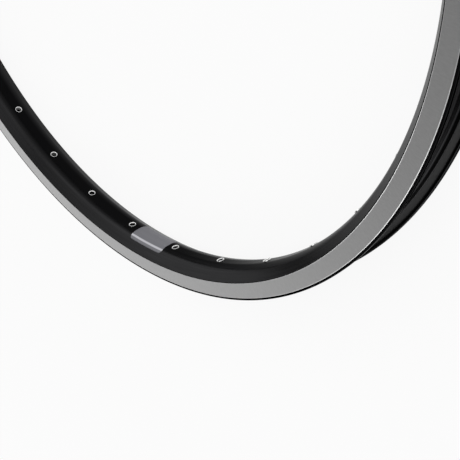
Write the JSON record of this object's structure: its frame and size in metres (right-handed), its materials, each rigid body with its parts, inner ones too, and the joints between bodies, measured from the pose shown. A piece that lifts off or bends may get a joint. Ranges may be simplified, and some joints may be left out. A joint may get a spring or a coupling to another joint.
{
  "type": "bicycle rim",
  "caption": "Double-wall bicycle rim with hooked tyre flanges, machined brake tracks, pressed spoke eyelets, a valve hole and a bare label on its spoke bed.",
  "frame": {"origin": "centre of the hoop, on the wheel axis and the rim's mid-plane", "axes": "+Z along the wheel axis, square to the brake tracks; +X out through the valve hole"},
  "size_m": [0.5717, 0.5718, 0.03],
  "materials": {
    "rim_alloy": "black anodised, with bare machined brake tracks",
    "eyelet_steel": "bright",
    "pin_steel": "drawn wire",
    "label_film": "satin film"
  },
  "bodies": {
    "root": {"rim_hoop": "rim_alloy", "eyelet_01": "eyelet_steel", "eyelet_02": "eyelet_steel", "eyelet_03": "eyelet_steel", "eyelet_04": "eyelet_steel", "eyelet_05": "eyelet_steel", "eyelet_06": "eyelet_steel", "eyelet_07": "eyelet_steel", "eyelet_08": "eyelet_steel", "eyelet_09": "eyelet_steel", "eyelet_10": "eyelet_steel", "eyelet_11": "eyelet_steel", "eyelet_12": "eyelet_steel", "eyelet_13": "eyelet_steel", "eyelet_14": "eyelet_steel", "eyelet_15": "eyelet_steel", "eyelet_16": "eyelet_steel", "eyelet_17": "eyelet_steel", "eyelet_18": "eyelet_steel", "eyelet_19": "eyelet_steel", "eyelet_20": "eyelet_steel", "eyelet_21": "eyelet_steel", "eyelet_22": "eyelet_steel", "eyelet_23": "eyelet_steel", "eyelet_24": "eyelet_steel", "eyelet_25": "eyelet_steel", "eyelet_26": "eyelet_steel", "eyelet_27": "eyelet_steel", "eyelet_28": "eyelet_steel", "eyelet_29": "eyelet_steel", "eyelet_30": "eyelet_steel", "eyelet_31": "eyelet_steel", "eyelet_32": "eyelet_steel", "joint_pin_top": "pin_steel", "joint_pin_bottom": "pin_steel", "bed_label": "label_film"}
  },
  "joints": []
}
